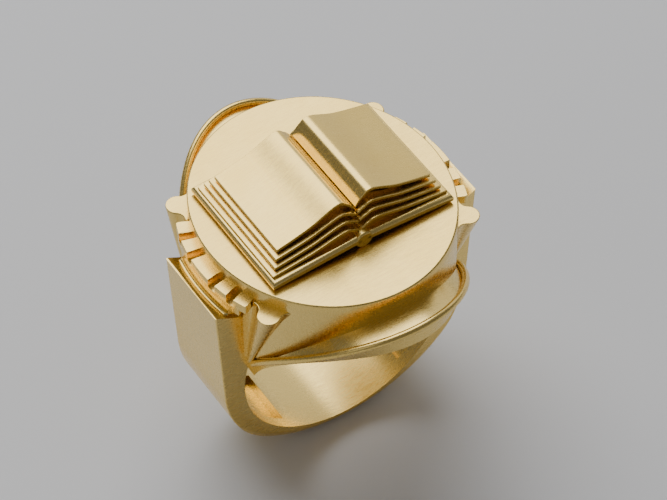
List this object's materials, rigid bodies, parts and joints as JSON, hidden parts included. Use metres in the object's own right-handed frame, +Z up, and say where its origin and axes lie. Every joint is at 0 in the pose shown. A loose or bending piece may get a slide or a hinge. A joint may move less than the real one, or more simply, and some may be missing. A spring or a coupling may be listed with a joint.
{
  "type": "signet ring",
  "caption": "Yellow metal signet ring with an oval bezel, an open-book emblem on top, notched rails and claws at its sides, and wire-edged ledges front and back.",
  "frame": {"origin": "centre of the finger bore, midway along it", "axes": "+Y along the finger towards the back ledge, +Z up through the bezel, +X across to the right shoulder"},
  "size_m": [0.0236, 0.027, 0.0281],
  "materials": {
    "polished_gold": "polished",
    "recess_gold": "satin"
  },
  "bodies": {
    "root": {"back_rim_wire": "polished_gold", "bezel_table": "polished_gold", "bezel_wall": "polished_gold", "book_spine": "polished_gold", "claw_back_left": "polished_gold", "claw_back_right": "polished_gold", "claw_front_left": "polished_gold", "claw_front_right": "polished_gold", "emblem_pegs": "polished_gold", "finger_saddle": "polished_gold", "front_rim_wire": "polished_gold", "left_cover": "polished_gold", "left_leaf_1": "polished_gold", "left_leaf_2": "polished_gold", "left_leaf_3": "polished_gold", "left_leaf_4": "polished_gold", "left_page_block": "recess_gold", "left_pocket_rib": "polished_gold", "left_shoulder": "polished_gold", "left_tooth_rail": "polished_gold", "right_cover": "polished_gold", "right_leaf_1": "polished_gold", "right_leaf_2": "polished_gold", "right_leaf_3": "polished_gold", "right_leaf_4": "polished_gold", "right_page_block": "recess_gold", "right_pocket_rib": "polished_gold", "right_shoulder": "polished_gold", "right_tooth_rail": "polished_gold", "shank_base": "polished_gold"}
  },
  "joints": []
}
